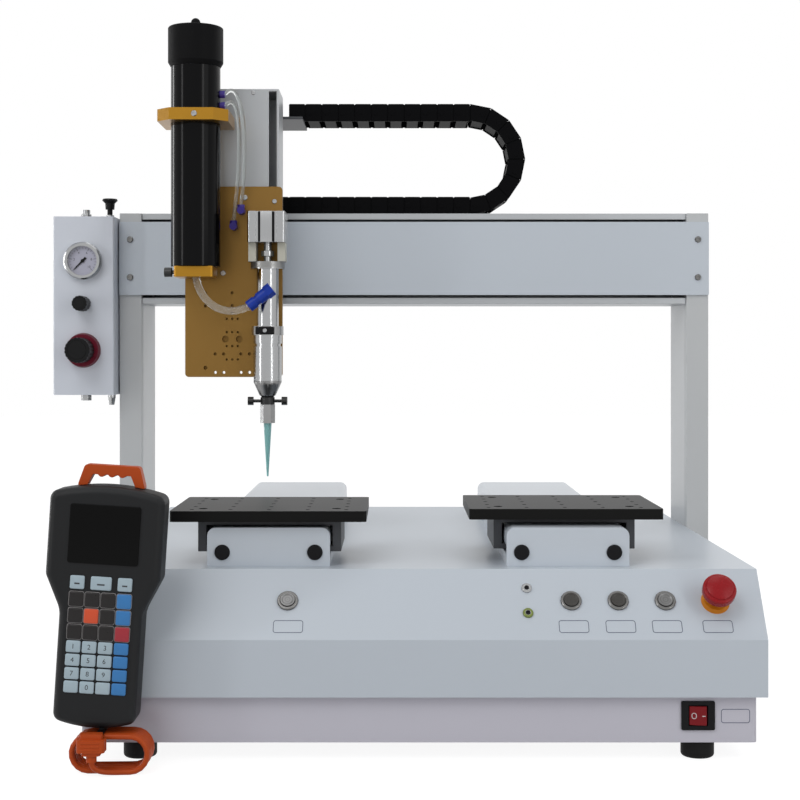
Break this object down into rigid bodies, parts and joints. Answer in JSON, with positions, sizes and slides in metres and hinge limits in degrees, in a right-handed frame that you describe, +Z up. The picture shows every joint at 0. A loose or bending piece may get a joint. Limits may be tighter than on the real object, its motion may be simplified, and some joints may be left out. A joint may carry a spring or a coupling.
{
  "type": "desktop dispensing robot",
  "caption": "Benchtop gantry robot with sliding drilled work tables, a lifting cartridge-fed dispense valve, control panel, air panel and teach pendant.",
  "frame": {"origin": "on the bench under the middle of the machine's own box, cable and plug left aside", "axes": "+Z up, +X to the operator's right, -Y towards the operator"},
  "size_m": [0.7394, 0.6591, 0.7175],
  "materials": {
    "white_paint": "gloss white powder coat",
    "plinth_paint": "gloss white powder coat",
    "grey_paint": "satin pale grey paint",
    "beam_metal": "satin anodised aluminium",
    "rubber_foot": "matt black rubber",
    "bright_metal": "turned and satin bright metal",
    "rail_steel": "ground steel",
    "dark_bracket": "dark anodised aluminium",
    "button_metal": "turned steel caps",
    "stop_red": "gloss red plastic",
    "stop_collar": "gloss amber plastic",
    "switch_black": "black moulded plastic",
    "switch_red": "red switch plastic",
    "knob_black": "black moulded plastic",
    "collar_maroon": "maroon plastic",
    "chain_black": "black nylon",
    "bronze_anodise": "bronze anodised aluminium",
    "gold_anodise": "gold anodised aluminium",
    "barrel_black": "gloss black anodised aluminium",
    "needle_teal": "translucent teal plastic",
    "clear_tube": "clear polyurethane",
    "fitting_blue": "blue push-in fittings",
    "table_black": "black anodised aluminium",
    "pendant_black": "charcoal moulded plastic",
    "pendant_orange": "orange plastic",
    "screen_black": "dark display window",
    "key_grey": "printed membrane keys"
  },
  "bodies": {
    "base": {"base_shell": "white_paint", "guide_covers": "white_paint", "beam_cover": "white_paint", "base_pan": "plinth_paint", "left_post": "grey_paint", "right_post": "grey_paint", "gauge_box": "grey_paint", "beam": "beam_metal", "feet": "rubber_foot", "button_bezels": "bright_metal", "panel_jacks": "bright_metal", "gauge": "bright_metal", "air_fittings": "bright_metal", "guide_rails": "rail_steel", "estop_collar": "stop_collar", "rocker_bezel": "switch_black", "rear_ports": "switch_black", "cover_plugs": "switch_black", "regulator_collar": "collar_maroon", "chain_lower": "chain_black", "pendant_body": "pendant_black", "pendant_handle": "pendant_orange", "pendant_plug": "pendant_orange", "pendant_hank": "pendant_orange", "pendant_cable": "pendant_orange", "pendant_screen": "screen_black", "pendant_keys": "key_grey"},
    "carriage": {"cross_slide": "dark_bracket", "lift_housing": "beam_metal", "chain_bracket": "dark_bracket", "chain_upper": "chain_black"},
    "chain_loop": {"chain_bend": "chain_black"},
    "lift_screw": {"lift_screw": "rail_steel"},
    "head": {"lift_block": "dark_bracket", "head_plate": "bronze_anodise", "barrel": "barrel_black", "barrel_cap": "barrel_black", "barrel_clamp": "gold_anodise", "barrel_foot": "gold_anodise", "valve_cylinder": "bright_metal", "valve_body": "bright_metal", "needle": "needle_teal", "feed_tube": "clear_tube", "head_fittings": "fitting_blue"},
    "valve_piston": {"valve_rod": "bright_metal"},
    "left_work_table": {"left_table": "table_black", "left_bracket": "dark_bracket"},
    "right_work_table": {"right_table": "table_black", "right_bracket": "dark_bracket"},
    "lone_start_cap": {"lone_start_button": "button_metal"},
    "manual_cap": {"manual_button": "button_metal"},
    "reset_cap": {"reset_button": "button_metal"},
    "start_cap": {"start_button": "button_metal"},
    "stop_plunger": {"estop_plunger": "stop_red"},
    "stop_head": {"estop_button": "stop_red"},
    "power_rocker": {"rocker_switch": "switch_red"},
    "pressure_needle": {"gauge_needle": "knob_black"},
    "suckback_dial": {"suckback_knob": "knob_black"},
    "regulator_dial": {"regulator_knob": "knob_black"},
    "air_valve": {"air_valve_knob": "knob_black"}
  },
  "joints": [
    {"name": "x_slide", "type": "slide", "parent": "base", "child": "carriage", "axis": [1, 0, 0], "range_m": [0, 0.36], "deforming": ["chain_upper", "chain_lower"]},
    {"name": "chain_follow", "type": "slide", "parent": "base", "child": "chain_loop", "axis": [1, 0, 0], "range_m": [0, 0.18]},
    {"name": "z_slide", "type": "slide", "parent": "carriage", "child": "head", "axis": [0, 0, 1], "range_m": [-0.012, 0.085]},
    {"name": "lift_screw_turn", "type": "hinge", "parent": "carriage", "child": "lift_screw", "pos_m": [-0.16125, 0.04745, 0.53], "axis": [0, 0, 1], "range_deg": [-240, 1560]},
    {"name": "valve_stroke", "type": "slide", "parent": "head", "child": "valve_piston", "axis": [0, 0, 1], "range_m": [0, 0.004], "stiffness_N_per_m": 1500},
    {"name": "left_table_slide", "type": "slide", "parent": "base", "child": "left_work_table", "axis": [0, 1, 0], "range_m": [0, 0.3]},
    {"name": "right_table_slide", "type": "slide", "parent": "base", "child": "right_work_table", "axis": [0, 1, 0], "range_m": [-0.02, 0.28]},
    {"name": "lone_start_press", "type": "slide", "parent": "base", "child": "lone_start_cap", "axis": [0, 0.7916, -0.6111], "range_m": [0, 0.0025], "stiffness_N_per_m": 400},
    {"name": "manual_press", "type": "slide", "parent": "base", "child": "manual_cap", "axis": [0, 0.7916, -0.6111], "range_m": [0, 0.0025], "stiffness_N_per_m": 400},
    {"name": "reset_press", "type": "slide", "parent": "base", "child": "reset_cap", "axis": [0, 0.7916, -0.6111], "range_m": [0, 0.0025], "stiffness_N_per_m": 400},
    {"name": "start_press", "type": "slide", "parent": "base", "child": "start_cap", "axis": [0, 0.7916, -0.6111], "range_m": [0, 0.0025], "stiffness_N_per_m": 400},
    {"name": "stop_press", "type": "slide", "parent": "base", "child": "stop_plunger", "axis": [0, 0.7916, -0.6111], "range_m": [0, 0.005], "stiffness_N_per_m": 600},
    {"name": "stop_twist", "type": "hinge", "parent": "stop_plunger", "child": "stop_head", "pos_m": [0.30275, -0.26729, 0.14711], "axis": [0, -0.7916, 0.6111], "range_deg": [0, 45], "stiffness_Nm_per_rad": 0.05},
    {"name": "power_rocker_tilt", "type": "hinge", "parent": "base", "child": "power_rocker", "pos_m": [0.28375, -0.27355, 0.04036], "axis": [0, 0, 1], "range_deg": [0, 20]},
    {"name": "pressure_needle_turn", "type": "hinge", "parent": "base", "child": "pressure_needle", "pos_m": [-0.33575, 0.06645, 0.467], "axis": [0, 1, 0], "range_deg": [0, 270], "stiffness_Nm_per_rad": 0.0005},
    {"name": "suckback_turn", "type": "hinge", "parent": "base", "child": "suckback_dial", "pos_m": [-0.33575, 0.06645, 0.419], "axis": [0, 1, 0], "continuous": true},
    {"name": "regulator_turn", "type": "hinge", "parent": "base", "child": "regulator_dial", "pos_m": [-0.33575, 0.06645, 0.367], "axis": [0, 1, 0], "continuous": true},
    {"name": "air_valve_push", "type": "slide", "parent": "base", "child": "air_valve", "axis": [0, 0, 1], "range_m": [-0.006, 0]}
  ],
  "couplings": [
    {"joint": "chain_follow", "follows": "x_slide", "ratio": 0.5},
    {"joint": "lift_screw_turn", "follows": "z_slide", "rad_per_m": 314.16}
  ]
}
